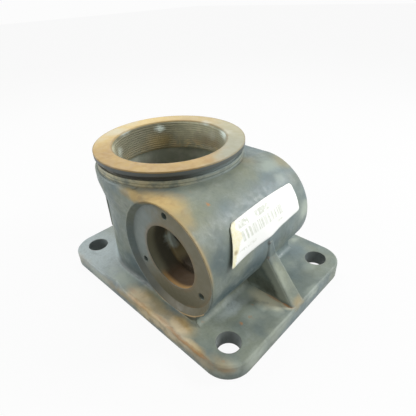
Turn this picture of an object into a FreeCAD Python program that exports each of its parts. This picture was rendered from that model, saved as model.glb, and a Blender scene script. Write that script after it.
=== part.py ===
"""Screw jack housing: one iron casting with a paper label stuck on its worm barrel.

Frame: +Z up, origin at the middle of the base plate's underside. The screw axis is vertical
on the -X side, the worm axis runs along Y on the +X side, and millimetres are used throughout.
"""
import FreeCAD, Part
import math
import os
import Sketcher

Vector = FreeCAD.Vector

SIZES = [
    # base plate
    ("plate_length", 200.0),
    ("plate_width", 153.6),
    ("plate_thick", 12.7),
    ("plate_corner", 19.6),
    ("plate_edge_chamfer", 1.3),
    ("bolt_spacing_long", 163.2),
    ("bolt_spacing_wide", 114.2),
    ("bolt_hole_radius", 8.75),
    ("ground_spot_middle", 27.0),
    ("ground_spot_length", 34.0),
    ("ground_spot_depth", 3.6),
    ("ground_spot_end_depth", 0.4),
    # where the two axes lie
    ("screw_offset", 28.5),
    ("centre_distance", 57.1),
    ("worm_height", 57.0),
    # gear case, round about the screw axis
    ("foot_radius", 58.6),
    ("foot_soft", 4.0),
    ("waist_radius", 57.3),
    ("waist_height", 70.0),
    ("waist_soft", 30.0),
    ("shoulder_radius", 61.5),
    ("shoulder_low", 91.0),
    ("shoulder_soft", 14.0),
    ("shoulder_top", 100.0),
    ("shoulder_chamfer", 1.2),
    ("flank_front_soft", 3.5),
    ("flank_back_soft", 2.0),
    ("flank_back_wall", 55.2),
    ("flank_back_drop", 1.0),
    ("neck_radius", 59.2),
    ("groove_low", 105.6),
    ("groove_radius", 57.2),
    ("lip_low", 109.2),
    ("lip_radius", 60.6),
    ("ring_top", 113.1),
    # worm barrel, round about the worm axis
    ("barrel_front_radius", 45.0),
    ("barrel_middle_radius", 44.6),
    ("barrel_back_radius", 42.0),
    ("barrel_back_end", 56.0),
    ("barrel_back_chamfer", 2.0),
    ("rim_width", 0.9),
    ("recess_depth", 4.0),
    ("recess_slope", 3.4),
    ("boss_blend", 3.0),
    ("boss_blend_up_angle", 54.0),
    ("boss_blend_down_angle", 80.0),
    ("saddle_reach", 27.0),
    ("saddle_soft", 5.0),
    # gusset below the label: foot on the plate, knee at the barrel, nose up the barrel's side
    ("rib_toe_reach", 98.4),
    ("rib_foot_middle", 2.6),
    ("rib_foot_thick", 14.0),
    ("rib_knee_height", 46.0),
    ("rib_knee_middle", 2.0),
    ("rib_knee_thick", 11.0),
    ("rib_nose_height", 60.0),
    ("rib_nose_middle", -0.8),
    ("rib_nose_thick", 6.4),
    ("rib_nose_proud", 0.8),
    ("rib_edge_soft", 2.4),
    # bare raised pad on the far left of the gear case
    ("pad_low", 40.0),
    ("pad_high", 74.0),
    ("pad_proud", 1.7),
    ("pad_spread_angle", 112.0),
    # inside, about the screw axis
    ("thread_radius", 46.0),
    ("thread_length", 26.1),
    ("mouth_chamfer", 0.8),
    ("gear_room_radius", 50.0),
    ("floor_thick", 20.0),
    ("thrust_seat_radius", 38.0),
    ("thrust_seat_depth", 5.0),
    ("screw_bore_radius", 19.0),
    # inside, about the worm axis
    ("worm_bore_radius", 24.9),
    ("worm_bore_length", 19.0),
    ("worm_room_radius", 21.5),
    ("front_cover_circle", 34.6),
    ("back_cover_circle", 33.0),
    ("cover_hole_radius", 2.6),
    ("cover_hole_depth", 16.0),
    # paper label on the barrel
    ("label_thick", 0.3),
    ("label_gap", 0.1),
    ("label_near", 33.0),
    ("label_far", 40.0),
    ("label_curl_length", 4.0),
    ("label_curl_lift", 2.4),
    ("label_arc_angle", 30.0),
    ("label_turn_angle", 27.0),
    ("label_corner", 3.0),
]

# the plate's left-to-right places of the two axes
SCREW_X = "-sizes.screw_offset"
WORM_X = "(sizes.centre_distance - sizes.screw_offset)"
RIM_FRONT = "sizes.shoulder_radius"

# two points closer than this are one point
TOUCHING = 1e-4

doc = FreeCAD.newDocument("screw_jack_housing")
sheet = doc.addObject("Spreadsheet::Sheet", "sizes")


def fill_sheet():
    for row, (name, value) in enumerate(SIZES, start=1):
        sheet.set(f"A{row}", name)
        sheet.set(f"B{row}", str(value))
        sheet.setAlias(f"B{row}", name)
    doc.recompute()


def value(formula):
    """A formula of sheet names as a number."""
    return float(sheet.evalExpression(formula))


def make_body(name):
    body = doc.addObject("PartDesign::Body", name)
    body.Label = name
    return body


def origin_plane(body, role):
    return next(item for item in body.Origin.OriginFeatures if item.Role == role)


def make_sketch(body, name, role, offset=("0", "0", "0")):
    """A sketch on one of the body's own planes, its origin moved by three formulas."""
    sketch = body.newObject("Sketcher::SketchObject", name)
    sketch.AttachmentSupport = (origin_plane(body, role), [""])
    sketch.MapMode = "FlatFace"
    for axis, formula in zip("xyz", offset):
        if formula != "0":
            sketch.setExpression(f"AttachmentOffset.Base.{axis}", formula)
    return sketch


def pin(sketch, geometry, end, across, up):
    """Tie one sketch point to two formulas, measured from the sketch's origin."""
    for kind, formula, axis in (("DistanceX", across, -2), ("DistanceY", up, -1)):
        if formula == "0":
            sketch.addConstraint(Sketcher.Constraint("PointOnObject", geometry, end, axis))
            continue
        size = value(formula)
        if size > 0:
            tie = Sketcher.Constraint(kind, -1, 1, geometry, end, size)
        else:
            tie = Sketcher.Constraint(kind, geometry, end, -1, 1, -size)
            formula = f"-({formula})"
        number = sketch.addConstraint(tie)
        sketch.setExpression(f"Constraints[{number}]", formula)


def outline(sketch, corners, soft=None):
    """A closed outline of straight runs; soft rounds a corner by its number and a formula."""
    places = [Vector(value(across), value(up), 0) for across, up in corners]
    count = len(places)
    for number in range(count):
        run = Part.LineSegment(places[number], places[(number + 1) % count])
        sketch.addGeometry(run, False)
    for number in range(count):
        following = (number + 1) % count
        sketch.addConstraint(Sketcher.Constraint("Coincident", number, 2, following, 1))
    for number, (across, up) in enumerate(corners):
        pin(sketch, number, 1, across, up)
    for number, radius in (soft or {}).items():
        sketch.fillet(number, 1, value(radius), True, True)
        arc = max(i for i, g in enumerate(sketch.Geometry) if isinstance(g, Part.ArcOfCircle))
        tie = sketch.addConstraint(Sketcher.Constraint("Radius", arc, value(radius)))
        sketch.setExpression(f"Constraints[{tie}]", radius)


def circles(sketch, places, radius):
    for across, up in places:
        middle = Vector(value(across), value(up), 0)
        number = sketch.addGeometry(Part.Circle(middle, Vector(0, 0, 1), value(radius)), False)
        pin(sketch, number, 3, across, up)
        tie = sketch.addConstraint(Sketcher.Constraint("Radius", number, value(radius)))
        sketch.setExpression(f"Constraints[{tie}]", radius)


def extrude(body, kind, name, sketch, length, symmetric=False, back=False):
    feature = body.newObject(f"PartDesign::{kind}", name)
    feature.Profile = (sketch, [""])
    feature.SideType = "Symmetric" if symmetric else "One side"
    feature.Reversed = back
    feature.setExpression("Length", length)
    sketch.Visibility = False
    return feature


def turn(body, kind, name, sketch, angle="360", midway=False):
    """A solid or a cut of revolution about the sketch's own upright axis."""
    feature = body.newObject(f"PartDesign::{kind}", name)
    feature.Profile = (sketch, [""])
    feature.ReferenceAxis = (sketch, ["V_Axis"])
    feature.Midplane = midway
    feature.setExpression("Angle", angle)
    return feature


def work_edges(body, kind, name, base, size, wanted):
    """Fillet or chamfer the edges of base that the test picks out."""
    doc.recompute()
    picked = [f"Edge{i}" for i, edge in enumerate(base.Shape.Edges, start=1) if wanted(edge)]
    feature = body.newObject(f"PartDesign::{kind}", name)
    feature.Base = (base, picked)
    feature.setExpression("Radius" if kind == "Fillet" else "Size", size)
    return feature


def at_height(edge, height):
    box = edge.BoundBox
    return abs(box.ZMin - height) < TOUCHING and abs(box.ZMax - height) < TOUCHING


def plate(body):
    """Flange plate with round corners and a worn top edge."""
    half_long, half_wide = "sizes.plate_length / 2", "sizes.plate_width / 2"
    corners = [
        (f"-{half_long}", f"-{half_wide}"), (half_long, f"-{half_wide}"),
        (half_long, half_wide), (f"-{half_long}", half_wide),
    ]
    sketch = make_sketch(body, "plate_outline", "XY_Plane")
    outline(sketch, corners, {number: "sizes.plate_corner" for number in range(4)})
    slab = extrude(body, "Pad", "base_plate", sketch, "sizes.plate_thick")
    top = value("sizes.plate_thick")
    work_edges(body, "Chamfer", "plate_top_edge", slab, "sizes.plate_edge_chamfer",
               lambda edge: at_height(edge, top))


def case_wall():
    """Front side of the gear case up to the shoulder, as radius and height."""
    return [
        ("sizes.foot_radius + 2 * sizes.foot_soft", "sizes.plate_thick"),
        ("sizes.foot_radius", "sizes.plate_thick"),
        ("sizes.waist_radius", "sizes.waist_height"),
        ("sizes.shoulder_radius", "sizes.shoulder_low"),
    ]


WALL_SOFT = ["sizes.foot_soft", "sizes.waist_soft", "sizes.shoulder_soft"]
BURIED = "sizes.plate_thick / 2"


def gear_case(body):
    """Round case about the screw axis, with its neck, snap groove and top ring."""
    wall = case_wall()
    corners = [("0", BURIED), (wall[0][0], BURIED)]
    corners += wall
    corners += [
        ("sizes.shoulder_radius", "sizes.shoulder_top - sizes.shoulder_chamfer"),
        ("sizes.shoulder_radius - sizes.shoulder_chamfer", "sizes.shoulder_top"),
        ("sizes.neck_radius", "sizes.shoulder_top"),
        ("sizes.neck_radius", "sizes.groove_low"),
        ("sizes.groove_radius", "sizes.groove_low"),
        ("sizes.groove_radius", "sizes.lip_low"),
        ("sizes.lip_radius", "sizes.lip_low"),
        ("sizes.lip_radius", "sizes.ring_top"),
        ("0", "sizes.ring_top"),
    ]
    soft = {number: radius for number, radius in enumerate(WALL_SOFT, start=3)}
    sketch = make_sketch(body, "gear_case_profile", "XZ_Plane", (SCREW_X, "0", "0"))
    outline(sketch, corners, soft)
    turn(body, "Revolution", "gear_case", sketch)


def flank(body):
    """The case's front wall carried straight on to the worm axis, with a plain back wall.

    Its top falls a little towards the back, so that it stays below the drafted barrel.
    """
    wall = case_wall()
    front = [(f"-({across})", up) for across, up in wall]
    front += [(f"-{RIM_FRONT}", "sizes.shoulder_top")]
    front += [("0", "sizes.shoulder_top")]
    back_foot = "sizes.flank_back_wall + 2 * sizes.foot_soft"
    back = [
        ("sizes.flank_back_wall", "sizes.shoulder_top - sizes.flank_back_drop"),
        ("sizes.flank_back_wall", "sizes.plate_thick"),
        (back_foot, "sizes.plate_thick"), (back_foot, BURIED),
    ]
    corners = [(front[0][0], BURIED)] + front + back
    soft = {number: radius for number, radius in enumerate(WALL_SOFT, start=2)}
    soft.update({5: "sizes.flank_front_soft", 7: "sizes.flank_back_soft", 8: "sizes.foot_soft"})
    sketch = make_sketch(body, "flank_profile", "YZ_Plane", ("0", "0", SCREW_X))
    outline(sketch, corners, soft)
    extrude(body, "Pad", "flank", sketch, "sizes.centre_distance")


def worm_barrel(body):
    """Barrel about the worm axis, drafted from its middle towards the back."""
    corners = [
        ("0", f"-{RIM_FRONT}"),
        ("sizes.barrel_front_radius", f"-{RIM_FRONT}"),
        ("sizes.barrel_middle_radius", "0"),
        ("sizes.barrel_back_radius", "sizes.barrel_back_end - sizes.barrel_back_chamfer"),
        ("sizes.barrel_back_radius - sizes.barrel_back_chamfer", "sizes.barrel_back_end"),
        ("0", "sizes.barrel_back_end"),
    ]
    sketch = make_sketch(body, "barrel_profile", "XY_Plane", (WORM_X, "0", "sizes.worm_height"))
    outline(sketch, corners)
    turn(body, "Revolution", "worm_barrel", sketch)


def boss_blend(body):
    """Hollow blend from the barrel's front rim back to the case wall, on the case side only."""
    rim = "sizes.barrel_front_radius"
    wall = f"-{RIM_FRONT} + sizes.recess_depth"
    reach = f"{rim} + 3 * sizes.boss_blend"
    inner = f"{rim} - 2 * sizes.boss_blend"
    inside = "-sizes.flank_back_wall / 2"
    corners = [
        (f"-({inner})", f"-{RIM_FRONT}"), (f"-({rim})", f"-{RIM_FRONT}"),
        (f"-({rim})", wall), (f"-({reach})", wall),
        (f"-({reach})", inside), (f"-({inner})", inside),
    ]
    sketch = make_sketch(body, "boss_blend_profile", "XY_Plane", (WORM_X, "0", "sizes.worm_height"))
    outline(sketch, corners, {2: "sizes.boss_blend"})
    blend = turn(body, "Revolution", "boss_blend", sketch, "sizes.boss_blend_up_angle")
    blend.Type = "TwoAngles"
    blend.setExpression("Angle2", "sizes.boss_blend_down_angle")


def saddle(body):
    """Wall that carries the barrel on the plate, with a hollow fillet along its right foot."""
    reach = f"{WORM_X} + sizes.saddle_reach"
    foot = f"{reach} + 2 * sizes.saddle_soft"
    inside = "sizes.worm_height - sizes.barrel_back_radius / 2"
    corners = [
        (WORM_X, BURIED), (foot, BURIED), (foot, "sizes.plate_thick"),
        (reach, "sizes.plate_thick"), (reach, inside), (WORM_X, inside),
    ]
    sketch = make_sketch(body, "saddle_profile", "XZ_Plane", ("0", "0", RIM_FRONT))
    outline(sketch, corners, {3: "sizes.saddle_soft"})
    length = f"{RIM_FRONT} + sizes.flank_back_wall"
    extrude(body, "Pad", "saddle", sketch, length, back=True)


def gusset(body):
    """Rib from the barrel down to the plate's right edge, its nose running up the barrel's side."""
    inside = "sizes.barrel_back_radius / 2"
    proud = "sizes.barrel_middle_radius + sizes.rib_nose_proud"
    toe = f"sizes.rib_toe_reach - {WORM_X}"
    levels = [
        ("foot", "sizes.plate_thick", toe),
        ("knee", "sizes.rib_knee_height", proud),
        ("nose", "sizes.rib_nose_height", proud),
    ]
    sketches = []
    for name, height, reach in levels:
        middle, half = f"sizes.rib_{name}_middle", f"sizes.rib_{name}_thick / 2"
        sketch = make_sketch(body, f"rib_{name}", "XY_Plane", (WORM_X, "0", height))
        low, high = f"{middle} - {half}", f"{middle} + {half}"
        outline(sketch, [(inside, low), (reach, low), (reach, high), (inside, high)],
                {1: "sizes.rib_edge_soft", 2: "sizes.rib_edge_soft"})
        sketches.append(sketch)
    rib = body.newObject("PartDesign::AdditiveLoft", "gusset")
    rib.Profile = (sketches[0], [""])
    rib.Sections = [(sketch, [""]) for sketch in sketches[1:]]
    rib.Ruled = True


def bare_pad(body):
    """Low raised pad round the outer side of the gear case."""
    outer = "-(sizes.waist_radius + sizes.pad_proud)"
    inner = "-(sizes.waist_radius - sizes.pad_proud)"
    corners = [
        (outer, "sizes.pad_low"), (outer, "sizes.pad_high"),
        (inner, "sizes.pad_high"), (inner, "sizes.pad_low"),
    ]
    sketch = make_sketch(body, "bare_pad_profile", "XZ_Plane", (SCREW_X, "0", "0"))
    outline(sketch, corners)
    turn(body, "Revolution", "bare_pad", sketch, "sizes.pad_spread_angle", midway=True)


def gear_room(body):
    """Threaded mouth, room for the worm gear, thrust bearing seat and screw bore."""
    thread_end = "sizes.ring_top - sizes.thread_length"
    seat = "sizes.floor_thick - sizes.thrust_seat_depth"
    corners = [
        ("0", "0"), ("sizes.screw_bore_radius", "0"),
        ("sizes.screw_bore_radius", seat), ("sizes.thrust_seat_radius", seat),
        ("sizes.thrust_seat_radius", "sizes.floor_thick"),
        ("sizes.gear_room_radius", "sizes.floor_thick"),
        ("sizes.gear_room_radius", thread_end), ("sizes.thread_radius", thread_end),
        ("sizes.thread_radius", "sizes.ring_top - sizes.mouth_chamfer"),
        ("sizes.thread_radius + sizes.mouth_chamfer", "sizes.ring_top"),
        ("0", "sizes.ring_top"),
    ]
    sketch = make_sketch(body, "gear_room_profile", "XZ_Plane", (SCREW_X, "0", "0"))
    outline(sketch, corners)
    turn(body, "Groove", "gear_room", sketch)


def worm_room(body):
    """Recessed front seat face, a bearing bore at each end and the room for the worm."""
    mouth = "sizes.barrel_front_radius - sizes.rim_width"
    face = f"{RIM_FRONT} - sizes.recess_depth"
    back = "sizes.barrel_back_end"
    bore, room = "sizes.worm_bore_radius", "sizes.worm_room_radius"
    corners = [
        ("0", f"-{RIM_FRONT}"), (mouth, f"-{RIM_FRONT}"),
        (f"{mouth} - sizes.recess_slope", f"-({face})"), (bore, f"-({face})"),
        (bore, f"-({face} - sizes.worm_bore_length)"),
        (room, f"-({face} - sizes.worm_bore_length)"),
        (room, f"{back} - sizes.worm_bore_length"),
        (bore, f"{back} - sizes.worm_bore_length"), (bore, back), ("0", back),
    ]
    sketch = make_sketch(body, "worm_room_profile", "XY_Plane", (WORM_X, "0", "sizes.worm_height"))
    outline(sketch, corners)
    turn(body, "Groove", "worm_room", sketch)


def cover_holes(body, end, face, first, back):
    """Three tapped holes round a bearing bore for its cover's screws, the first at a given height."""
    sketch = make_sketch(body, f"{end}_cover_hole", "XZ_Plane", (WORM_X, "sizes.worm_height", face))
    circles(sketch, [("0", first)], "sizes.cover_hole_radius")
    hole = extrude(body, "Pocket", f"{end}_cover_hole_cut", sketch, "sizes.cover_hole_depth",
                   back=back)
    ring = body.newObject("PartDesign::PolarPattern", f"{end}_cover_holes")
    ring.Originals = [hole]
    ring.Axis = (sketch, ["N_Axis"])
    ring.Angle = 360
    ring.Occurrences = 3
    body.Tip = ring


def bolt_holes(body):
    half_long, half_wide = "sizes.bolt_spacing_long / 2", "sizes.bolt_spacing_wide / 2"
    places = [(a + half_long, b + half_wide) for a in ("-", "") for b in ("-", "")]
    sketch = make_sketch(body, "bolt_hole_places", "XY_Plane")
    circles(sketch, places, "sizes.bolt_hole_radius")
    extrude(body, "Pocket", "bolt_holes", sketch, "sizes.plate_thick", back=True)


def ground_spot(body):
    """Shallow place ground off the plate's front top edge, running out at both ends."""
    edge, top = "-sizes.plate_width / 2", "sizes.plate_thick"
    middle, half = "-sizes.ground_spot_middle", "sizes.ground_spot_length / 2"
    levels = [
        ("start", f"{middle} - {half}", "sizes.ground_spot_end_depth"),
        ("middle", middle, "sizes.ground_spot_depth"),
        ("end", f"{middle} + {half}", "sizes.ground_spot_end_depth"),
    ]
    sketches = []
    for name, place, depth in levels:
        sketch = make_sketch(body, f"ground_spot_{name}_outline", "YZ_Plane", ("0", "0", place))
        outline(sketch, [(edge, top), (edge, f"{top} - 2 * {depth}"), (f"{edge} + {depth}", top)])
        sketches.append(sketch)
    spot = body.newObject("PartDesign::SubtractiveLoft", "ground_spot")
    spot.Profile = (sketches[0], [""])
    spot.Sections = [(sketch, [""]) for sketch in sketches[1:]]
    spot.Ruled = True


def housing():
    body = make_body("housing")
    plate(body)
    gear_case(body)
    flank(body)
    worm_barrel(body)
    boss_blend(body)
    saddle(body)
    bare_pad(body)
    gusset(body)
    gear_room(body)
    worm_room(body)
    face = f"({RIM_FRONT} - sizes.recess_depth)"
    cover_holes(body, "front", face, "sizes.front_cover_circle", False)
    cover_holes(body, "back", "-sizes.barrel_back_end", "-sizes.back_cover_circle", True)
    bolt_holes(body)
    ground_spot(body)
    return body


def barrel_front_part(along):
    """Formula of the barrel's radius at a place in front of its middle."""
    drop = "(sizes.barrel_front_radius - sizes.barrel_middle_radius)"
    return f"sizes.barrel_middle_radius + {drop} * ({along}) / {RIM_FRONT}"


def barrel_back_part(along):
    """Formula of the barrel's radius at a place behind its middle."""
    drop = "(sizes.barrel_middle_radius - sizes.barrel_back_radius)"
    return f"sizes.barrel_middle_radius - {drop} * ({along}) / sizes.barrel_back_end"


def paper_label():
    """Sheet that follows the barrel, its near end curling up off the iron."""
    body = make_body("paper_label")
    near, far = "-sizes.label_near", "sizes.label_far"
    tip = f"{near} - sizes.label_curl_length"
    under = [
        (f"{barrel_back_part(far)} + sizes.label_gap", far),
        ("sizes.barrel_middle_radius + sizes.label_gap", "0"),
        (f"{barrel_front_part('sizes.label_near')} + sizes.label_gap", near),
        (f"{barrel_front_part('sizes.label_near')} + sizes.label_gap + sizes.label_curl_lift", tip),
    ]
    over = [(f"{across} + sizes.label_thick", along) for across, along in reversed(under)]
    corners = under + over
    sketch = make_sketch(body, "label_profile", "XY_Plane")
    outline(sketch, corners)
    sheet_of_paper = turn(body, "Revolution", "label_sheet", sketch, "sizes.label_arc_angle", midway=True)
    work_edges(body, "Fillet", "label_corners", sheet_of_paper, "sizes.label_corner",
               lambda edge: edge.Length < value("2 * sizes.label_thick") and edge.CenterOfMass.y > 0)
    body.Placement = FreeCAD.Placement(Vector(0, 0, 0), FreeCAD.Rotation(Vector(0, -1, 0), 1))
    body.setExpression("Placement.Base.x", WORM_X)
    body.setExpression("Placement.Base.z", "sizes.worm_height")
    body.setExpression("Placement.Rotation.Angle", "sizes.label_turn_angle")
    return body


def check_and_write(bodies):
    doc.recompute()
    for item in doc.Objects:
        if "Invalid" in item.State or "Error" in item.State:
            raise SystemExit(f"{item.Name} did not compute: {item.State}")
    os.makedirs("parts", exist_ok=True)
    for body in bodies:
        shape = body.Shape
        if shape.isNull() or not shape.isValid() or len(shape.Solids) != 1:
            raise SystemExit(f"{body.Label} is not one valid solid")
        shape.exportStep(f"parts/{body.Label}.step")
        print(body.Label, "volume", round(shape.Volume), "faces", len(shape.Faces), shape.BoundBox)


fill_sheet()
check_and_write([housing(), paper_label()])
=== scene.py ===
"""Looks of the screw jack housing: painted casting, light rust, thread turns and paper label.

Lengths are in metres where they reach Blender and in millimetres (MM) where they are named.
"""
import math
import bpy
from mathutils import Matrix, Vector

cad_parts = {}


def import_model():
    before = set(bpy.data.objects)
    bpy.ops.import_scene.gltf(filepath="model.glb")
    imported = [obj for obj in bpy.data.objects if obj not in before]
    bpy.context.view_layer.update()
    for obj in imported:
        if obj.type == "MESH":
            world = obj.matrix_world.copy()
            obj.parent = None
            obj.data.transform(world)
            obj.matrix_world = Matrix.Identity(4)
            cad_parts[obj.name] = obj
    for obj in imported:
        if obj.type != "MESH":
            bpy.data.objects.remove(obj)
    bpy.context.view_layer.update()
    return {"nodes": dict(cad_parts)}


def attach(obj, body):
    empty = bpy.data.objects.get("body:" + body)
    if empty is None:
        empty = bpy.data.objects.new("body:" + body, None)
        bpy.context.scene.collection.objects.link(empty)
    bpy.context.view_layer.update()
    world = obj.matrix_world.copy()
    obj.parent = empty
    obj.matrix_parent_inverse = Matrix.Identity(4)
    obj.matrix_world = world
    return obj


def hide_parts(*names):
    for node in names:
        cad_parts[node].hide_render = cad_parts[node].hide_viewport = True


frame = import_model()

MM = 0.001
FULL_TURN = 2 * math.pi

# the two axes of the casting, in millimetres: screw axis upright, worm axis along Y
SCREW_X = -28.5
WORM_X = 28.6
WORM_Z = 57.0

# sizes of the casting that its colours follow, and the direction square to the gusset's upper edge
PLATE_TOP = 12.7
BOLT_X = 81.6
BOLT_Y = 57.1
BOLT_RADIUS = 8.75
SHOULDER_TOP = 100.0
GROOVE_LOW = 105.6
GROOVE_RADIUS = 57.2
LIP_LOW = 109.2
LIP_RADIUS = 60.6
RING_TOP = 113.1
ROOM_RADIUS = 50.0
ROOM_TOP = 87.0
BORE_RADIUS = 24.9
RIM_Y = -61.5
RIM_RADIUS = 45.0
FACE_Y = -57.5
GUSSET_SQUARE = (0.805, 0.0, 0.593)

# camera, as fitted to the photograph
CAMERA_PLACE = (183.7, -170.6, 214.7)
CAMERA_TARGET = (7.53, 3.60, 59.97)
CAMERA_ROLL = math.radians(-3.07)
CAMERA_LENS = 30.46
SENSOR = 36.0

# thread in the mouth of the gear case
THREAD_ROOT = 46.15
THREAD_CREST = 45.1
THREAD_PITCH = 2.0
THREAD_LOW = 88.2
THREAD_HIGH = 111.6
THREAD_STEPS = 128
THREAD_FOOT_SHARE = 0.94
THREAD_TIP_SHARE = 0.14
THREAD_LEAST = 0.03

# worm barrel under the label: place and radius at its front, middle and back
BARREL_PROFILE = [(RIM_Y, RIM_RADIUS), (0.0, 44.6), (56.0, 42.0)]

# paper label: far end, near end at its upper and lower edge, edge angles up from level
LABEL_FAR = 40.6
LABEL_NEAR_UPPER = -32.6
LABEL_NEAR_LOWER = -45.8
LABEL_UPPER_ANGLES = (42.8, 41.2)
LABEL_LOWER_ANGLES = (12.0, 9.2)
LABEL_UPPER_BOW = 1.7
LABEL_THICK = 0.16
LABEL_GAP = 0.12
LABEL_CORNER = 2.8
LABEL_LOOSE = 24.0
LABEL_LIFT = 2.3
LABEL_STEPS = (84, 26)
RIB_Y = -0.8
RIB_BULGE = 1.2
RIB_BULGE_REACH = 9.0

# surface of the casting: how far stains wander, its lumps and grain, turned rings and soft edges
STAIN_WANDER = 9.0
SKIN_HEIGHTS = (0.35, 0.1)
TURNED_PITCH = 0.9
TURNED_HEIGHT = 0.012
EDGE_SOFT = 1.3

# floor and light
FLOOR_REACH = 4000.0
FLOOR_GAP = 0.1
FLOOR_WHITE = 0.86
FLOOR_GLOW = 1.085
FLOOR_MATT = (150, 151, 150)
DARK_FLOOR_REACH = 24.0
DARK_FLOOR_SOFT = 4.0
ROOM_WHITE = (252, 252, 252)
ROOM_LIGHT = 0.16
FRONT_LIGHT = 0.34
FRONT_SIDE = (0.0, -0.95, 0.3)

# soft square lamps: name, place, target, size and power
LAMPS = [
    ("key", (-450, 330, 650), (0, 0, 60), 500, 2.9),
    ("left", (-500, -450, 400), (0, 0, 60), 400, 2.8),
    ("back", (400, 480, 460), (30, 20, 50), 260, 4.0),
    ("right", (750, 60, 330), (60, 0, 40), 300, 1.6),
]


def paint(red, green, blue):
    """A colour given as it looks on screen, 0 to 255, in Blender's linear values."""
    shares = [part / 255 for part in (red, green, blue)]
    linear = [s / 12.92 if s <= 0.04045 else ((s + 0.055) / 1.055) ** 2.4 for s in shares]
    return (*linear, 1.0)


class Graph:
    """Short names for making the shader nodes of one tree."""

    def __init__(self, tree):
        self.tree = tree

    def feed(self, socket, given):
        """Link another node's output to the socket, or set its value."""
        if isinstance(given, bpy.types.NodeSocket):
            self.tree.links.new(given, socket)
        else:
            socket.default_value = given

    def math(self, operation, first, second=0.0, clamp=False):
        """One operation on two numbers or sockets."""
        node = self.tree.nodes.new("ShaderNodeMath")
        node.operation = operation
        node.use_clamp = clamp
        self.feed(node.inputs[0], first)
        self.feed(node.inputs[1], second)
        return node.outputs[0]

    def vector(self, operation, first, second=(0, 0, 0), scale=1.0):
        """One operation on two vectors; some give a number."""
        node = self.tree.nodes.new("ShaderNodeVectorMath")
        node.operation = operation
        self.feed(node.inputs[0], first)
        if operation == "SCALE":
            self.feed(node.inputs["Scale"], scale)
        else:
            self.feed(node.inputs[1], second)
        gives_number = operation in ("LENGTH", "DISTANCE", "DOT_PRODUCT")
        return node.outputs["Value" if gives_number else "Vector"]

    def split(self, vector):
        """The three parts of a vector."""
        node = self.tree.nodes.new("ShaderNodeSeparateXYZ")
        self.feed(node.inputs[0], vector)
        return node.outputs[0], node.outputs[1], node.outputs[2]

    def join(self, x, y, z):
        """A vector from its three parts."""
        node = self.tree.nodes.new("ShaderNodeCombineXYZ")
        for socket, given in zip(node.inputs, (x, y, z)):
            self.feed(socket, given)
        return node.outputs[0]

    def ramp(self, given, low, high, start=0.0, end=1.0, smooth=True):
        """Step from start at low to end at high."""
        node = self.tree.nodes.new("ShaderNodeMapRange")
        node.interpolation_type = "SMOOTHSTEP" if smooth else "LINEAR"
        self.feed(node.inputs["Value"], given)
        self.feed(node.inputs["From Min"], low)
        self.feed(node.inputs["From Max"], high)
        self.feed(node.inputs["To Min"], start)
        self.feed(node.inputs["To Max"], end)
        return node.outputs["Result"]

    def fall(self, given, low, high):
        """1 up to low, smoothly down to 0 at high."""
        return self.ramp(given, low, high, 1.0, 0.0)

    def window(self, given, low, high, soft):
        """1 between low and high, fading out over soft on both sides."""
        rise = self.ramp(given, low - soft, low)
        fall = self.fall(given, high, high + soft)
        return self.math("MULTIPLY", rise, fall)

    def both(self, *masks):
        """1 where all of the masks are 1."""
        result = masks[0]
        for mask in masks[1:]:
            result = self.math("MULTIPLY", result, mask)
        return result

    def strongest(self, *masks):
        """The strongest of several masks at each place."""
        result = masks[0]
        for mask in masks[1:]:
            result = self.math("MAXIMUM", result, mask)
        return result

    def noise(self, place, size, detail=2.0, rough=0.5, colour=False):
        """Noise with features about size millimetres across."""
        node = self.tree.nodes.new("ShaderNodeTexNoise")
        self.feed(node.inputs["Vector"], place)
        node.inputs["Scale"].default_value = 1 / size
        node.inputs["Detail"].default_value = detail
        node.inputs["Roughness"].default_value = rough
        return node.outputs["Color" if colour else "Fac"]

    def mix(self, mask, under, over):
        """The colour under where mask is 0 and the colour over where it is 1."""
        node = self.tree.nodes.new("ShaderNodeMix")
        node.data_type = "RGBA"
        self.feed(node.inputs["Factor"], mask)
        self.feed(node.inputs["A"], under)
        self.feed(node.inputs["B"], over)
        return node.outputs["Result"]

    def tint(self, colour, mask, shade, share=1.0):
        """The colour with a screen colour laid over it where mask is 1, at most by share."""
        if share < 1.0:
            mask = self.math("MULTIPLY", mask, share)
        return self.mix(mask, colour, paint(*shade))

    def around(self, across, middle_across, along, middle_along):
        """Distance from an axis."""
        first = self.math("SUBTRACT", across, middle_across)
        second = self.math("SUBTRACT", along, middle_along)
        return self.vector("LENGTH", self.join(first, second, 0.0))

    def blot(self, place, middle, reach, soft=0.85):
        """1 at middle, fading to 0 at the ellipsoid whose half axes are reach."""
        offset = self.vector("SUBTRACT", place, middle)
        share = self.vector("LENGTH", self.vector("DIVIDE", offset, reach))
        return self.fall(share, 1.0 - soft, 1.0)

    def patches(self, place, wanted):
        """Soft patches, each given by its middle and half axes in millimetres and its strength."""
        masks = []
        for middle, reach, strength in wanted:
            masks.append(self.math("MULTIPLY", self.blot(place, middle, reach), strength))
        return self.strongest(*masks)

    def blend(self, share, under, over):
        """Two shaders mixed: share is that of the second."""
        node = self.tree.nodes.new("ShaderNodeMixShader")
        self.feed(node.inputs["Fac"], share)
        self.feed(node.inputs[1], under)
        self.feed(node.inputs[2], over)
        return node.outputs[0]


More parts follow.
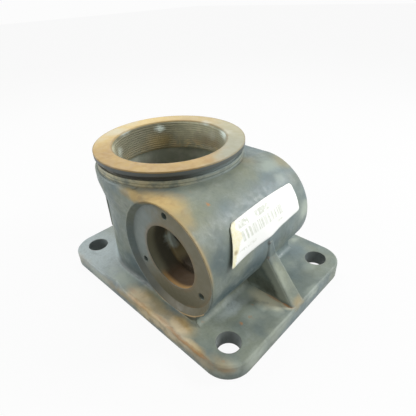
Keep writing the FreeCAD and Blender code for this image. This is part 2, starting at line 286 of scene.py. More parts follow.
class SurfaceGraph(Graph):
    """Nodes of a new material, with the place in millimetres and the side that it faces."""

    def __init__(self, name):
        self.material = bpy.data.materials.new(name)
        self.material.use_nodes = True
        super().__init__(self.material.node_tree)
        self.shader = self.tree.nodes["Principled BSDF"]
        place = self.tree.nodes.new("ShaderNodeTexCoord").outputs["Object"]
        self.place = self.vector("SCALE", place, scale=1 / MM)
        self.x, self.y, self.z = self.split(self.place)
        geometry = self.tree.nodes.new("ShaderNodeNewGeometry")
        self.normal = geometry.outputs["Normal"]
        self.backside = geometry.outputs["Backfacing"]
        facing = self.split(self.normal)
        self.facing_y, self.facing_z = facing[1], facing[2]

    def bump(self, height, distance, strength):
        """Bump of the surface, distance millimetres high where height is 1."""
        node = self.tree.nodes.new("ShaderNodeBump")
        node.inputs["Distance"].default_value = distance * MM
        node.inputs["Strength"].default_value = strength
        self.feed(node.inputs["Height"], height)
        self.feed(self.shader.inputs["Normal"], node.outputs[0])
        return node


def barrel_radius(along):
    """Radius of the worm barrel at a place along the worm axis."""
    front, middle, back = BARREL_PROFILE
    first, second = (front, middle) if along < middle[0] else (middle, back)
    share = (along - first[0]) / (second[0] - first[0])
    return first[1] + share * (second[1] - first[1])


def mesh_object(name, points, faces, smooth=True):
    """A mesh from points in millimetres."""
    mesh = bpy.data.meshes.new(name)
    mesh.from_pydata([Vector(point) * MM for point in points], [], faces)
    mesh.validate()
    for face in mesh.polygons:
        face.use_smooth = smooth
    piece = bpy.data.objects.new(name, mesh)
    bpy.context.scene.collection.objects.link(piece)
    return piece


def thread_turns():
    """Helical ridge that stands in from the mouth's plain wall, fading out at both ends."""
    foot, tip = THREAD_FOOT_SHARE * THREAD_PITCH / 2, THREAD_TIP_SHARE * THREAD_PITCH / 2
    profile = [(THREAD_ROOT, -foot), (THREAD_CREST, -tip), (THREAD_CREST, tip), (THREAD_ROOT, foot)]
    turns = (THREAD_HIGH - THREAD_LOW) / THREAD_PITCH
    steps = round(turns * THREAD_STEPS)
    points, faces = [], []
    for step in range(steps + 1):
        angle = FULL_TURN * step / THREAD_STEPS
        fade = min(1.0, step / (THREAD_STEPS / 2), (steps - step) / (THREAD_STEPS / 2))
        height = THREAD_LOW + THREAD_PITCH * step / THREAD_STEPS
        for radius, rise in profile:
            reach = THREAD_ROOT + (radius - THREAD_ROOT) * max(fade, THREAD_LEAST)
            points.append((SCREW_X + reach * math.cos(angle), reach * math.sin(angle), height + rise))
    count = len(profile)
    for step in range(steps):
        for corner in range(count):
            first = step * count + corner
            second = step * count + (corner + 1) % count
            faces.append((first, first + count, second + count, second))
    faces.append(tuple(range(count)))
    faces.append(tuple(reversed(range(steps * count, (steps + 1) * count))))
    return mesh_object("mouth_thread", points, faces, smooth=False)


def label_point(along_share, up_share, layer):
    """Place on the label: 0 to 1 from its far to its near end and from its lower to its upper edge."""
    near = LABEL_NEAR_LOWER + (LABEL_NEAR_UPPER - LABEL_NEAR_LOWER) * up_share
    length = LABEL_FAR - near
    height = math.radians(LABEL_UPPER_ANGLES[0] - LABEL_LOWER_ANGLES[0]) * barrel_radius(0)
    run, up = round_corner(along_share * length, up_share * height, length, height)
    along_share, up_share = run / length, up / height
    lower = LABEL_LOWER_ANGLES[0] + (LABEL_LOWER_ANGLES[1] - LABEL_LOWER_ANGLES[0]) * along_share
    upper = LABEL_UPPER_ANGLES[0] + (LABEL_UPPER_ANGLES[1] - LABEL_UPPER_ANGLES[0]) * along_share
    upper += LABEL_UPPER_BOW * math.sin(math.pi * along_share)
    angle = math.radians(lower + (upper - lower) * up_share)
    along = LABEL_FAR - run
    loose = max(0.0, (run - length + LABEL_LOOSE) / LABEL_LOOSE)
    lift = LABEL_LIFT * loose ** 2 * (1.0 - 0.9 * up_share ** 1.5)
    over_rib = math.exp(-((along - RIB_Y) / RIB_BULGE_REACH) ** 2) * (1.0 - up_share) ** 4
    radius = barrel_radius(along) + LABEL_GAP + layer + lift + RIB_BULGE * over_rib
    return (WORM_X + radius * math.cos(angle), along, WORM_Z + radius * math.sin(angle))


def round_corner(run, up, length, height):
    """Pull a point of the label's border in to a rounded corner."""
    across = min(run, length - run)
    upward = min(up, height - up)
    if across >= LABEL_CORNER or upward >= LABEL_CORNER:
        return run, up
    inset_run, inset_up = LABEL_CORNER - across, LABEL_CORNER - upward
    reach = math.hypot(inset_run, inset_up)
    square = max(inset_run, inset_up)
    shrink = square / reach if reach > 0 else 1.0
    across, upward = LABEL_CORNER - inset_run * shrink, LABEL_CORNER - inset_up * shrink
    run = across if run < length / 2 else length - across
    up = upward if up < height / 2 else height - upward
    return run, up


def paper_sheet():
    """Label sheet with two faces and a border, curled off the barrel at its near end."""
    long_steps, wide_steps = LABEL_STEPS
    points, faces = [], []
    for lift in (LABEL_THICK, 0.0):
        for row in range(long_steps + 1):
            for column in range(wide_steps + 1):
                points.append(label_point(row / long_steps, column / wide_steps, lift))
    wide = wide_steps + 1
    layer = (long_steps + 1) * wide
    for row in range(long_steps):
        for column in range(wide_steps):
            first = row * wide + column
            faces.append((first, first + 1, first + wide + 1, first + wide))
            faces.append(tuple(corner + layer for corner in
                               (first, first + wide, first + wide + 1, first + 1)))
    border = [row * wide for row in range(long_steps)]
    border += [long_steps * wide + column for column in range(wide_steps)]
    border += [row * wide + wide_steps for row in range(long_steps, 0, -1)]
    border += list(range(wide_steps, 0, -1))
    for number, first in enumerate(border):
        second = border[(number + 1) % len(border)]
        faces.append((first, second, second + layer, first + layer))
    return mesh_object("paper_sticker", points, faces)


# thin tan rust on the painted skin
TAN_PATCHES = [
    ((26, -58, 101), (38, 18, 10), 1.0),
    ((4, -61, 99), (24, 8, 7), 0.9),
    ((47, -58, 98), (18, 12, 12), 0.55),
    ((64, -60, 84), (7, 6, 16), 0.12),
    ((2, -72, 13), (22, 14, 8), 0.85),
    ((15, -77, 13), (28, 9, 8), 1.0),
    ((33, -77, 13), (27, 10, 8), 1.0),
    ((47, -71, 13), (19, 13, 8), 1.0),
    ((66, -77, 13), (26, 7, 8), 0.85),
    ((91, -73, 11), (16, 10, 9), 0.38),
    ((24, -70, 13), (36, 9, 7), 0.55),
    ((30, -78, 8), (104, 5, 9), 0.75),
    ((97, 3, 13), (9, 10, 6), 0.45),
    ((46, 52, 97), (14, 14, 9), 0.2),
    ((28, 28, 101), (12, 10, 5), 0.15),
    ((-80, -78, 9), (26, 6, 8), 0.25),
]

# palest parts of the tan film
CREAM_PATCHES = [
    ((-4, -72, 13), (18, 11, 7), 1.0),
    ((10, -73, 13), (20, 9, 7), 0.7),
    ((42, -75, 13), (36, 9, 7), 1.0),
    ((40, -79, 7), (70, 5, 7), 0.9),
]

# greenish yellow bloom on the primer
OLIVE_PATCHES = [
    ((48, -50, 96), (32, 26, 20), 0.7),
    ((64, -57, 80), (8, 16, 22), 0.45),
    ((36, 20, 101), (24, 30, 8), 0.5),
    ((46, 52, 97), (16, 16, 10), 0.5),
    ((12, -64, 13), (20, 8, 6), 0.5),
    ((92, 30, 13), (16, 30, 5), 0.3),
    ((80, 0, 34), (18, 7, 20), 0.6),
    ((59, 50, 86), (11, 15, 11), 0.3),
]

# narrow orange-brown rust, mostly in corners
ORANGE_PATCHES = [
    ((47.5, -36.6, 97.7), (2.4, 1.8, 2.0), 0.9),
    ((60, -77, 11.6), (44, 2.6, 2.6), 0.6),
    ((94, -73, 9), (9, 6, 4), 0.3),
    ((14, -78, 12), (9, 4, 3), 0.4),
    ((-6, -71, 13), (11, 3, 3), 0.25),
    ((4, -76, 12.7), (16, 3, 3), 0.35),
    ((34, -75, 12.7), (12, 3, 3), 0.4),
    ((78, -40, 12.7), (1.8, 1.8, 1.6), 0.7),
    ((88, -70, 12.7), (2.0, 2.0, 1.6), 0.6),
    ((80, -30, 12.7), (1.6, 1.6, 1.6), 0.4),
    ((75, -20, 12.7), (1.8, 1.4, 1.6), 0.4),
]

# light bare or dusty smudges, and painted light on shaded places of the plate by the gusset and the case
PALE_PATCHES = [
    ((44, 37, 97), (13, 15, 8), 0.5),
    ((55, 34, 90), (8, 9, 7), 0.35),
    ((71, 49, 61), (7, 13, 13), 0.85),
    ((80, -17, 13), (7, 7, 4), 0.6),
    ((72, -3, 13), (6, 5, 4), 0.4),
    ((90, -14, 13), (9, 9, 4), 0.45),
    ((80, -26, 13), (14, 14, 4), 0.35),
    ((96, -70, 10), (12, 10, 8), 0.6),
    ((63, -13, 13), (11, 18, 4), 0.8),
    ((76, -5, 13), (10, 5, 3), 0.5),
    ((-24, -68, 13), (28, 12, 4), 0.85),
    ((-50, -78, 7), (22, 4, 9), 0.7),
    ((99, -20, 10), (7, 26, 9), 0.4),
    ((99, 22, 12), (7, 12, 6), 0.5),
    ((82, 0, 28), (16, 5, 18), 0.35),
    ((54, 67, 13), (6, 6, 4), 0.5),
    ((66, 34, 13), (14, 16, 4), 0.4),
    ((101, 22, 9), (5, 12, 6), 0.7),
    ((91, -76, 5), (8, 5, 5), 0.7),
    ((84, 45, 13), (7, 12, 4), 0.3),
    ((100, -50, 8), (6, 20, 9), 0.6),
    ((-4, -66, 13), (11, 6, 4), 0.6),
]

# pale spots on the mouth's threaded wall and top
MOUTH_SMUDGES = [
    ((-69, 23, 108), (7, 7, 5), 1.0),
    ((-33, 48, 113), (9, 6, 4), 1.0),
    ((-80, -17, 113), (13, 18, 5), 1.0),
    ((-88, 4, 113), (10, 16, 5), 0.6),
    ((-24, 46, 103), (6, 6, 5), 0.2),
    ((-74, -37, 113), (8, 12, 4), 0.6),
    ((-68, -24, 99), (7, 7, 7), 0.45),
    ((-5, 39, 110), (13, 9, 7), 1.0),
    ((10, 26, 106), (5, 7, 6), 0.6),
]

# broad painted light on the plate, partly a pale dusty film
PAINTED_LIGHT_AREAS = [
    ((-80, -68, 12), (96, 54, 12), 1.0),
    ((63, -22, 13), (10, 36, 5), 0.95),
]
# broad painted shade under the barrel, by the gusset and along the case's foot
PAINTED_SHADE_AREAS = [
    ((72, -38, 40), (18, 54, 22), 1.0),
    ((57, -50, 19), (8, 14, 9), 0.8),
    ((68, -50, 68), (13, 20, 32), 0.85),
    ((-38, -60, 48), (20, 8, 28), 0.3),
    ((74, 12, 52), (7, 20, 16), 0.5),
    ((73, -20, 47), (12, 26, 14), 1.0),
    ((66, -53, 76), (9, 11, 19), 0.75),
    ((-14, -58, 27), (34, 6, 14), 1.0),
    ((60, 50, 86), (12, 16, 12), 0.75),
]


def housing_zones(g):
    """Distances from the casting's two axes, and masks of its machined and hollow parts."""
    screw = g.around(g.x, SCREW_X, g.y, 0.0)
    worm = g.around(g.x, WORM_X, g.z, WORM_Z)
    zones = {"screw": screw, "worm": worm}
    zones["ring_top"] = g.both(g.ramp(g.z, RING_TOP - 1.1, RING_TOP - 0.7), g.ramp(screw, 44.0, 45.0))
    zones["mouth"] = g.both(g.ramp(g.z, ROOM_TOP - 1.0, ROOM_TOP + 0.2), g.fall(screw, 46.4, 47.2))
    room_wall = g.fall(screw, ROOM_RADIUS + 0.2, ROOM_RADIUS + 0.6)
    gear_room = g.both(g.window(g.z, -1.0, ROOM_TOP, 0.4), room_wall)
    bore_wall = g.fall(worm, BORE_RADIUS + 0.2, BORE_RADIUS + 0.6)
    zones["bore"] = g.both(bore_wall, g.ramp(g.y, FACE_Y + 0.1, FACE_Y + 0.9))
    zones["inside"] = g.strongest(gear_room, zones["bore"])
    near_lip = g.ramp(screw, GROOVE_RADIUS - 0.4, GROOVE_RADIUS - 0.1)
    zones["groove"] = g.both(near_lip, g.window(g.z, GROOVE_LOW + 0.1, LIP_LOW + 0.1, 0.3),
                             g.fall(screw, LIP_RADIUS + 0.1, LIP_RADIUS + 0.4))
    zones["lip"] = g.both(g.window(g.z, LIP_LOW - 0.1, RING_TOP - 0.5, 0.4),
                          g.ramp(screw, LIP_RADIUS - 1.0, LIP_RADIUS - 0.4))
    zones["neck"] = g.both(g.window(g.z, SHOULDER_TOP + 0.2, GROOVE_LOW, 0.3), near_lip,
                           g.fall(screw, LIP_RADIUS - 0.4, LIP_RADIUS + 0.2))
    zones["boss_face"] = g.both(g.fall(g.facing_y, -0.9, -0.6), g.fall(g.y, FACE_Y + 0.3, FACE_Y + 0.7),
                                g.fall(worm, RIM_RADIUS - 2.4, RIM_RADIUS - 1.8))
    zones["rim"] = g.both(g.window(g.y, RIM_Y + 0.1, FACE_Y - 0.1, 0.3),
                          g.ramp(worm, RIM_RADIUS - 4.6, RIM_RADIUS - 4.0),
                          g.fall(worm, RIM_RADIUS - 1.0, RIM_RADIUS - 0.6), g.ramp(g.facing_z, 0.1, 0.5))
    hole_x = g.math("SUBTRACT", g.math("ABSOLUTE", g.x), BOLT_X)
    hole_y = g.math("SUBTRACT", g.math("ABSOLUTE", g.y), BOLT_Y)
    bolt = g.vector("LENGTH", g.join(hole_x, hole_y, 0.0))
    zones["bolt_hole"] = g.both(g.fall(bolt, BOLT_RADIUS - 0.15, BOLT_RADIUS + 0.25),
                                g.fall(g.z, PLATE_TOP + 0.2, PLATE_TOP + 0.5))
    zones["underside"] = g.fall(g.z, 0.05, 0.2)
    return zones


def skin_colour(g, place):
    """Thin blue-grey primer, greener, paler or darker in places, over the cast skin, with broad painted
    light and painted shade.
    """
    broad = g.ramp(g.noise(place, 42.0, 2.0), 0.36, 0.64)
    patchy = g.noise(place, 10.0, 4.0, 0.55)
    fine = g.noise(place, 1.6, 3.0, 0.6)
    colour = g.mix(broad, paint(110, 126, 128), paint(129, 137, 123))
    # painted light and painted shade laid over the primer
    colour = g.tint(colour, g.patches(place, PAINTED_LIGHT_AREAS), (174, 186, 187))
    colour = g.tint(colour, g.patches(place, PAINTED_SHADE_AREAS), (74, 91, 95))
    colour = g.tint(colour, g.patches(place, OLIVE_PATCHES), (140, 143, 116))
    colour = g.tint(colour, g.ramp(patchy, 0.45, 0.78, 0.0, 0.4), (152, 161, 155))
    colour = g.tint(colour, g.ramp(patchy, 0.28, 0.48, 0.35, 0.0), (96, 106, 104))
    return g.tint(colour, g.ramp(fine, 0.35, 0.75, 0.0, 0.22), (92, 98, 92))


def neck_colour(g, place):
    """Mottled olive and tan neck below the mouth, greyer on both sides, striped, with painted shade in the
    crease at its foot.
    """
    tone = g.noise(place, 8.0, 3.0, 0.6)
    colour = g.mix(g.ramp(tone, 0.35, 0.62), paint(139, 145, 130), paint(190, 184, 151))
    right = g.both(g.ramp(g.x, -6.0, 24.0), g.ramp(g.y, -50.0, -10.0))
    colour = g.tint(colour, right, (130, 140, 134))
    left = g.ramp(g.x, -70.0, -24.0, 0.95, 0.0)
    colour = g.tint(colour, left, (104, 113, 108))
    height = g.math("ADD", g.z, g.math("MULTIPLY", g.noise(g.place, 5.0, 3.0), 0.9))
    colour = g.tint(colour, g.window(height, 103.0, 103.6, 0.3), (78, 80, 68), 0.45)
    colour = g.tint(colour, g.window(height, 104.2, 104.9, 0.3), (166, 164, 140), 0.35)
    # painted shade in the crease where the neck meets the shoulder
    colour = g.tint(colour, g.ramp(g.z, 100.6, 101.6, 0.6, 0.0), (64, 66, 58))
    stains = g.ramp(g.noise(g.place, 6.0, 4.0, 0.65), 0.5, 0.64, 0.0, 0.45)
    return g.tint(colour, stains, (96, 104, 102))


def rust_colour(g, place):
    """Tan film, a little browner and paler by turns, cream in places."""
    tone = g.noise(place, 9.0, 4.0, 0.6)
    colour = g.mix(g.ramp(tone, 0.3, 0.62), paint(177, 146, 91), paint(197, 169, 110))
    colour = g.tint(colour, g.ramp(tone, 0.6, 0.78, 0.0, 0.5), (205, 182, 122))
    return g.tint(colour, g.patches(place, CREAM_PATCHES), (253, 236, 200), 0.9)


def ring_colour(g, zones, place):
    """Turned top face of the mouth: tan film, paler on its left and back, grey on its right."""
    tone = g.noise(place, 14.0, 3.0, 0.55)
    colour = g.mix(g.ramp(tone, 0.3, 0.7), paint(163, 131, 73), paint(178, 149, 87))
    colour = g.tint(colour, g.ramp(g.x, -86.0, -46.0, 0.75, 0.0), (216, 192, 128))
    corner = g.math("ADD", g.x, g.math("MULTIPLY", g.y, 0.8))
    corner = g.ramp(g.math("ADD", corner, g.math("MULTIPLY", tone, 36.0)), 26.0, 52.0, 0.0, 0.9)
    colour = g.tint(colour, corner, (151, 153, 133))
    back = g.ramp(g.y, 24.0, 58.0, 0.0, 0.5)
    colour = g.tint(colour, back, (184, 174, 134))
    inner_rim = g.ramp(zones["screw"], 46.6, 48.0, 0.5, 0.0)
    outer_rim = g.ramp(zones["screw"], LIP_RADIUS - 1.4, LIP_RADIUS - 0.2, 0.0, 0.4)
    colour = g.tint(colour, g.strongest(inner_rim, outer_rim), (140, 122, 92))
    return g.tint(colour, g.patches(place, MOUTH_SMUDGES), (196, 196, 178), 0.6)


def mouth_colour(g, place):
    """Threaded wall: olive metal, darker on its right, with painted shadow on its left, and rust-coloured
    towards its foot, painted lighter there against its shade.
    """
    tone = g.noise(place, 7.0, 4.0, 0.65)
    colour = g.mix(g.ramp(tone, 0.35, 0.65), paint(178, 176, 150), paint(202, 200, 172))
    colour = g.tint(colour, g.ramp(g.x, -34.0, -6.0, 0.0, 0.9), (150, 148, 125))
    # rust-coloured towards the foot of the thread, painted lighter there against its shade
    low = g.both(g.fall(g.z, 90.0, 100.0), g.ramp(tone, 0.42, 0.62))
    colour = g.tint(colour, low, (232, 206, 152), 0.7)
    # painted shadow on the left of the threaded wall
    colour = g.tint(colour, g.ramp(g.x, -72.0, -50.0, 0.8, 0.0), (107, 105, 84))
    colour = g.tint(colour, g.blot(place, (-68, 18, 95), (10, 26, 12)), (164, 148, 106))
    brown = g.blot(place, (-26, 46, 96), (34, 12, 11))
    colour = g.tint(colour, brown, (134, 122, 92), 0.75)
    return g.tint(colour, g.patches(place, MOUTH_SMUDGES), (228, 238, 230))


def inside_colour(g, zones, place):
    """Bare iron inside the case, pale above and brown below, partly painted light and shade; the front
    bore is rusty at its mouth, with painted shade deeper in and a painted patch of light.
    """
    tone = g.noise(place, 10.0, 3.0)
    colour = g.mix(g.ramp(tone, 0.35, 0.65), paint(164, 170, 156), paint(186, 190, 176))
    # brown lower down, partly painted shade
    low = g.fall(g.math("ADD", g.z, g.math("MULTIPLY", tone, 14.0)), 52.0, 72.0)
    colour = g.tint(colour, low, (76, 64, 50))
    side = g.ramp(g.math("ADD", g.x, g.math("MULTIPLY", tone, 8.0)), 14.0, 26.0)
    # darker deeper into the bore: painted shade
    left = g.mix(g.ramp(g.y, -54.5, -48.0), paint(158, 158, 134), paint(98, 97, 82))
    right = g.mix(g.ramp(g.y, -56.0, -52.0), paint(188, 150, 98), paint(84, 67, 47))
    front = g.mix(side, left, right)
    # darker beyond the step: painted shade
    stepped = g.mix(g.ramp(g.x, 13.0, 21.0), paint(150, 138, 102), paint(70, 60, 44))
    front = g.mix(g.ramp(g.y, -41.0, -39.0), front, stepped)
    # painted patch of light where light from the mouth falls inside
    front = g.tint(front, g.blot(place, (8, -38, 52), (7, 7, 10), 0.6), (206, 218, 208))
    # darker still far into the bore: painted shade
    front = g.tint(front, g.ramp(g.y, -32.0, -24.0), (92, 82, 66))
    return g.mix(zones["bore"], colour, front)


def face_colour(g, zones, place):
    """Turned bearing face: grey primer on its left, olive-brown rust on its right, darker towards its
    foot.
    """
    tone = g.noise(place, 11.0, 4.0, 0.6)
    rusty = g.math("ADD", g.math("MULTIPLY", tone, 34.0), g.x)
    rusty = g.math("SUBTRACT", rusty, g.math("MULTIPLY", g.z, 0.25))
    rusty = g.ramp(rusty, 0.0, 26.0)
    colour = g.mix(rusty, paint(122, 132, 128), paint(113, 109, 88))
    colour = g.tint(colour, g.ramp(g.z, 20.0, 50.0, 0.75, 0.0), (92, 89, 71))
    rim = g.both(g.ramp(zones["worm"], 25.0, 29.0, 0.5, 0.0), g.ramp(tone, 0.35, 0.55))
    colour = g.tint(colour, rim, (130, 108, 76))
    edge = g.both(g.ramp(zones["worm"], 38.0, 40.6), g.ramp(g.x, 20.0, 40.0), g.ramp(tone, 0.4, 0.6))
    return g.tint(colour, edge, (134, 110, 78), 0.5)


def gusset_colour(g, place, colour):
    """Painted shade in the gusset's corner and above its nose, a painted light strip along its edge,
    painted light on the plate at its foot, and a line of rust at its foot.
    """
    # painted shade in the corner between gusset, barrel and plate
    corner_shade = g.strongest(g.blot(place, (74, 0, 19), (20, 9, 12)), g.blot(place, (83, 0, 20), (14, 9, 9)))
    corner_shade = g.both(corner_shade, g.fall(g.facing_z, 0.45, 0.7))
    colour = g.tint(colour, corner_shade, (44, 43, 35), 0.95)
    # painted light along the gusset's rounded upper edge
    outward = g.vector("DOT_PRODUCT", place, GUSSET_SQUARE)
    painted_light_strip = g.both(g.ramp(outward, 76.5, 81.0), g.window(g.y, -6.0, 3.0, 1.0),
                  g.window(g.z, 17.0, 44.0, 3.0), g.fall(g.facing_y, -0.9, -0.7))
    colour = g.tint(colour, painted_light_strip, (178, 184, 168), 0.75)
    # painted light on the plate at the gusset's foot, against its shade
    foot_light = g.strongest(g.blot(place, (78, -8, PLATE_TOP), (22, 11, 4), 0.7),
                       g.blot(g.place, (91, -4, PLATE_TOP), (10, 6, 3), 0.7))
    foot_light = g.both(foot_light, g.ramp(g.facing_z, 0.7, 0.9))
    colour = g.tint(colour, foot_light, (238, 235, 206), 0.8)
    strong = g.blot(g.place, (93, -3.4, PLATE_TOP), (6, 3, 1.6), 0.7)
    weak = g.blot(g.place, (82, -4.5, PLATE_TOP), (10, 2.4, 1.4), 0.7)
    line = g.strongest(strong, g.math("MULTIPLY", weak, 0.5))
    colour = g.tint(colour, line, (214, 154, 94), 0.8)
    # painted shade in the corner above the gusset's nose
    nose_shade = g.blot(g.place, (73.4, -2.6, 60.5), (3.0, 2.6, 3.0))
    return g.tint(colour, nose_shade, (52, 54, 46), 0.8)


def boss_colour(g, zones, colour):
    """The boss's rim, painted shade where it meets the plate and along the case's foot beside it, and rust
    along its front edges.
    """
    rim_colour = g.mix(g.ramp(g.x, -4.0, 26.0), paint(106, 110, 102), paint(101, 97, 77))
    colour = g.mix(zones["rim"], colour, rim_colour)
    # painted shade in the gap under the rim, where it meets the plate
    rim_gap_shade = g.both(g.window(zones["worm"], RIM_RADIUS + 0.4, RIM_RADIUS + 2.6, 0.8),
                     g.fall(g.y, FACE_Y - 0.7, FACE_Y + 0.3),
                     g.window(g.z, PLATE_TOP + 1.2, 26.0, 0.6), g.fall(g.x, 52.0, 62.0))
    colour = g.tint(colour, rim_gap_shade, (60, 62, 54), 0.8)
    # painted shade along the case's foot beside the boss
    foot = g.both(g.ramp(g.z, PLATE_TOP + 0.1, PLATE_TOP + 0.7), g.fall(g.z, 17.0, 25.0),
                  g.ramp(g.y, -66.0, -62.0), g.fall(g.y, -54.0, -50.0), g.window(g.x, -40.0, 4.0, 16.0))
    colour = g.tint(colour, foot, (66, 73, 70), 0.7)
    rim_line = g.both(g.window(zones["worm"], RIM_RADIUS - 0.8, RIM_RADIUS + 0.2, 0.2),
                      g.window(g.y, RIM_Y - 0.3, RIM_Y + 0.5, 0.4),
                      g.window(g.z, PLATE_TOP + 0.5, 30.0, 0.4), g.ramp(g.x, 4.0, 20.0))
    colour = g.tint(colour, rim_line, (206, 176, 130), 0.75)
    front_edge = g.both(g.fall(g.y, RIM_Y + 0.5, RIM_Y + 2.9), g.ramp(g.x, 20.0, 44.0),
                        g.ramp(g.z, 54.0, 74.0), g.ramp(zones["worm"], RIM_RADIUS - 1.8, RIM_RADIUS - 1.2))
    return g.tint(colour, front_edge, (176, 154, 108), 0.75)


def zone_colours(g, zones, place, colour):
    """Machined and hollow parts, laid over the skin one after another."""
    colour = g.tint(colour, zones["lip"], (88, 93, 90))
    # painted shade in the groove under the lip, fading out to the right
    groove_shade = g.mix(g.ramp(g.x, 18.0, 30.0), paint(66, 67, 58), paint(116, 128, 126))
    colour = g.mix(zones["groove"], colour, groove_shade)
    colour = g.mix(zones["boss_face"], colour, face_colour(g, zones, place))
    colour = g.mix(zones["inside"], colour, inside_colour(g, zones, place))
    colour = g.mix(zones["mouth"], colour, mouth_colour(g, place))
    colour = g.mix(zones["ring_top"], colour, ring_colour(g, zones, place))
    colour = g.tint(colour, zones["bolt_hole"], (100, 108, 108))
    return g.tint(colour, zones["underside"], (120, 118, 108))


def cast_surface(g, zones):
    """Bump of the cast skin, with turned rings on the machined faces; gives the rounded normal."""
    lumps = g.math("MULTIPLY", g.noise(g.place, 5.5, 3.0, 0.55), SKIN_HEIGHTS[0])
    grain = g.math("MULTIPLY", g.noise(g.place, 1.1, 3.0, 0.6), SKIN_HEIGHTS[1])
    skin = g.math("ADD", lumps, grain)
    about_screw = g.math("SINE", g.math("MULTIPLY", zones["screw"], FULL_TURN / TURNED_PITCH))
    about_worm = g.math("SINE", g.math("MULTIPLY", zones["worm"], FULL_TURN / TURNED_PITCH))
    turned = g.mix(zones["ring_top"], about_worm, about_screw)
    turned = g.math("MULTIPLY", turned, TURNED_HEIGHT)
    machined = g.strongest(zones["ring_top"], zones["boss_face"], zones["lip"], zones["mouth"])
    height = g.mix(machined, skin, turned)
    rounded = g.tree.nodes.new("ShaderNodeBevel")
    rounded.samples = 6
    rounded.inputs["Radius"].default_value = EDGE_SOFT * MM
    bump = g.bump(height, 1.0, 0.55)
    g.feed(bump.inputs["Normal"], rounded.outputs[0])
    return rounded.outputs[0]


def worn_edges(g, rounded):
    """1 where the rounded normal leaves the true one, that is along sharp edges."""
    return g.fall(g.vector("DOT_PRODUCT", rounded, g.normal), 0.8, 0.985)


def iron_material():
    """One material for the whole casting; its zones and stains follow places on the casting."""
    g = SurfaceGraph("painted_cast_iron")
    shift = g.vector("SUBTRACT", g.noise(g.place, 11.0, 3.0, 0.6, colour=True), (0.5, 0.5, 0.5))
    place = g.vector("ADD", g.place, g.vector("SCALE", shift, scale=STAIN_WANDER))
    zones = housing_zones(g)
    edges = worn_edges(g, cast_surface(g, zones))
    colour = skin_colour(g, place)
    colour = g.tint(colour, edges, (158, 152, 130), 0.25)
    # pale smudges, partly painted light over shaded places
    colour = g.tint(colour, g.patches(place, PALE_PATCHES), (178, 188, 175))
    colour = g.mix(zones["neck"], colour, neck_colour(g, place))
    tan = g.patches(place, TAN_PATCHES)
    colour = g.mix(g.math("MULTIPLY", tan, 0.92), colour, rust_colour(g, place))
    specks = g.ramp(g.noise(g.place, 13.0, 5.0, 0.75), 0.64, 0.72)
    specks = g.both(specks, g.ramp(g.z, 0.0, 60.0, 0.45, 0.15))
    orange = g.strongest(g.patches(place, ORANGE_PATCHES), specks)
    colour = g.tint(colour, orange, (182, 128, 76))
    colour = boss_colour(g, zones, colour)
    colour = gusset_colour(g, place, colour)
    colour = zone_colours(g, zones, place, colour)
    g.feed(g.shader.inputs["Base Color"], colour)
    gloss = g.ramp(g.noise(g.place, 4.0, 3.0), 0.3, 0.7, 0.4, 0.58)
    dull = g.strongest(tan, zones["bore"])
    gloss = g.math("ADD", gloss, g.math("MULTIPLY", dull, 0.3), clamp=True)
    g.feed(g.shader.inputs["Roughness"], gloss)
    g.shader.inputs["Specular IOR Level"].default_value = 0.4
    return g.material


def label_print(g, run, rise):
    """Mask of the print: a row of bars and three rows of marks that mean nothing."""
    bars = g.noise(g.join(run, 0.0, 0.0), 1.9, 1.0, 0.3)
    bars = g.both(g.ramp(bars, 0.44, 0.54), g.window(run, -27.0, 20.0, 0.8),
                  g.window(rise, 17.8, 23.8, 0.9))
    marks = g.noise(g.join(run, rise, 0.0), 2.2, 1.0, 0.4)
    places = g.strongest(g.window(run, -27.0, -17.0, 1.0), g.window(run, -8.0, 6.0, 1.0))
    upper = g.both(g.ramp(marks, 0.36, 0.47), g.window(rise, 26.6, 30.4, 0.8), places)
    lower = g.both(g.ramp(marks, 0.42, 0.54), g.window(rise, 12.6, 13.8, 0.6),
                   g.window(run, -33.0, -16.0, 1.0))
    far_mark = g.both(g.ramp(marks, 0.4, 0.52), g.window(rise, 13.6, 14.6, 0.5),
                      g.window(run, 9.0, 17.0, 1.0))
    return g.strongest(bars, upper, g.math("MULTIPLY", g.strongest(lower, far_mark), 0.7))


def label_cream(g, run, rise, smear):
    """Mask of the cream patch on the label's loose end, slanted like a fold."""
    stained = g.math("ADD", run, g.math("MULTIPLY", smear, 5.0))
    falling = g.fall(g.math("SUBTRACT", stained, g.math("MULTIPLY", rise, 1.1)), -50.5, -47.5)
    rising = g.fall(g.math("ADD", stained, g.math("MULTIPLY", rise, 0.75)), -8.5, -5.5)
    strip = g.fall(g.math("SUBTRACT", stained, g.math("MULTIPLY", rise, 0.53)), -43.5, -41.0)
    cream = g.strongest(g.both(falling, rising), strip)
    return g.math("MULTIPLY", cream, g.ramp(smear, 0.3, 0.6, 0.95, 0.55))


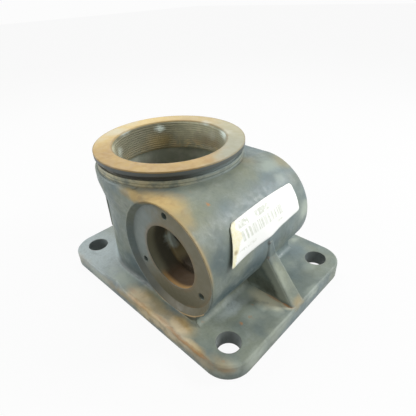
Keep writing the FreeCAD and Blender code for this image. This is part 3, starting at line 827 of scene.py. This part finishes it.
def label_material():
    """White paper print with faded bars, a cream patch and a brown spot at its loose end."""
    g = SurfaceGraph("label_paper")
    arc = g.math("ARCTAN2", g.math("SUBTRACT", g.z, WORM_Z), g.math("SUBTRACT", g.x, WORM_X))
    rise = g.math("MULTIPLY", arc, barrel_radius(0))
    run = g.y
    smear = g.noise(g.place, 2.6, 3.0, 0.7)
    tone = g.ramp(g.noise(g.place, 16.0, 2.0), 0.3, 0.7)
    colour = g.mix(tone, paint(246, 248, 244), paint(252, 253, 250))
    faded = g.both(label_print(g, run, rise), g.ramp(smear, 0.25, 0.7, 0.2, 0.6))
    colour = g.tint(colour, faded, (168, 176, 150))
    colour = g.tint(colour, label_cream(g, run, rise, smear), (234, 228, 182))
    spot = g.blot(g.place, (72, -38, 72.5), (4.5, 3.2, 2.2))
    colour = g.tint(colour, spot, (150, 128, 70), 0.75)
    colour = g.tint(colour, g.backside, (214, 204, 158), 0.9)
    g.feed(g.shader.inputs["Base Color"], colour)
    g.shader.inputs["Roughness"].default_value = 0.55
    g.bump(g.noise(g.place, 8.0, 3.0), 0.2, 0.3)
    return g.material


def stage_ray(g):
    """1 for rays that should see a plain white background: camera, mirror and glass rays."""
    path = g.tree.nodes.new("ShaderNodeLightPath").outputs
    either = g.math("MAXIMUM", path["Is Glossy Ray"], path["Is Transmission Ray"])
    return g.math("ADD", path["Is Camera Ray"], either, clamp=True)


def floor():
    """Pale floor that looks white with a faint shadow, and stays matt below the screw bore."""
    points = [(-FLOOR_REACH, -FLOOR_REACH), (FLOOR_REACH, -FLOOR_REACH),
              (FLOOR_REACH, FLOOR_REACH), (-FLOOR_REACH, FLOOR_REACH)]
    piece = mesh_object("floor", [(x, y, -FLOOR_GAP) for x, y in points], [(0, 1, 2, 3)], smooth=False)
    material = bpy.data.materials.new("floor")
    material.use_nodes = True
    g = Graph(material.node_tree)
    g.tree.nodes.remove(g.tree.nodes["Principled BSDF"])
    matt = g.tree.nodes.new("ShaderNodeBsdfDiffuse")
    matt.inputs["Color"].default_value = paint(*FLOOR_MATT)
    white = g.tree.nodes.new("ShaderNodeEmission")
    white.inputs["Color"].default_value = (1.0, 1.0, 1.0, 1.0)
    white.inputs["Strength"].default_value = FLOOR_GLOW
    place = g.tree.nodes.new("ShaderNodeTexCoord").outputs["Object"]
    offset = g.vector("DISTANCE", place, (SCREW_X * MM, 0.0, -FLOOR_GAP * MM))
    dark_end = DARK_FLOOR_REACH + DARK_FLOOR_SOFT
    lit = g.ramp(offset, DARK_FLOOR_REACH * MM, dark_end * MM, 0.0, FLOOR_WHITE, smooth=False)
    share = g.math("MULTIPLY", stage_ray(g), lit)
    surface = g.blend(share, matt.outputs[0], white.outputs[0])
    g.feed(g.tree.nodes["Material Output"].inputs["Surface"], surface)
    piece.data.materials.append(material)


def world():
    """Even room light, brighter from the front; camera, mirror and glass rays see white."""
    room = bpy.data.worlds.new("room")
    bpy.context.scene.world = room
    room.use_nodes = True
    g = Graph(room.node_tree)
    looked_at = g.tree.nodes.new("ShaderNodeTexCoord").outputs["Generated"]
    ahead = g.math("MAXIMUM", g.vector("DOT_PRODUCT", looked_at, FRONT_SIDE), 0.0)
    front = g.math("MULTIPLY", g.math("MULTIPLY", ahead, ahead), FRONT_LIGHT)
    light = g.tree.nodes["Background"]
    light.inputs["Color"].default_value = (1.0, 1.0, 1.0, 1.0)
    g.feed(light.inputs["Strength"], g.math("ADD", front, ROOM_LIGHT))
    white = g.tree.nodes.new("ShaderNodeBackground")
    white.inputs["Color"].default_value = paint(*ROOM_WHITE)
    seen = g.blend(stage_ray(g), light.outputs[0], white.outputs[0])
    g.feed(g.tree.nodes["World Output"].inputs["Surface"], seen)


def soft_lamp(name, place, target, size, power):
    """A square soft light at a place in millimetres, turned to its target."""
    data = bpy.data.lights.new(name, "AREA")
    data.size = size * MM
    data.energy = power
    lamp = bpy.data.objects.new(name, data)
    lamp.location = Vector(place) * MM
    lamp.rotation_euler = (Vector(place) - Vector(target)).to_track_quat("Z", "Y").to_euler()
    bpy.context.scene.collection.objects.link(lamp)


def camera():
    """Camera as fitted to the photograph, rolled a little."""
    data = bpy.data.cameras.new("camera")
    data.lens = CAMERA_LENS
    data.sensor_width = SENSOR
    data.sensor_fit = "HORIZONTAL"
    data.clip_start = 0.01
    piece = bpy.data.objects.new("camera", data)
    bpy.context.scene.collection.objects.link(piece)
    back = (Vector(CAMERA_PLACE) - Vector(CAMERA_TARGET)).normalized()
    right = Vector((0, 0, 1)).cross(back).normalized()
    up = back.cross(right)
    turn = Matrix((right, up, back)).transposed().to_4x4()
    roll = Matrix.Rotation(CAMERA_ROLL, 4, "Z")
    piece.matrix_world = Matrix.Translation(Vector(CAMERA_PLACE) * MM) @ turn @ roll
    bpy.context.scene.camera = piece


bpy.context.scene.view_settings.view_transform = "Standard"
camera()
world()
floor()
for lamp in LAMPS:
    soft_lamp(*lamp)

iron = iron_material()
casting = frame["nodes"]["housing"]
for slot in casting.material_slots:
    slot.material = iron

turns = thread_turns()
turns.data.materials.append(iron)
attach(turns, "root")

sticker = paper_sheet()
sticker.data.materials.append(label_material())
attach(sticker, "root")
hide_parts("paper_label")
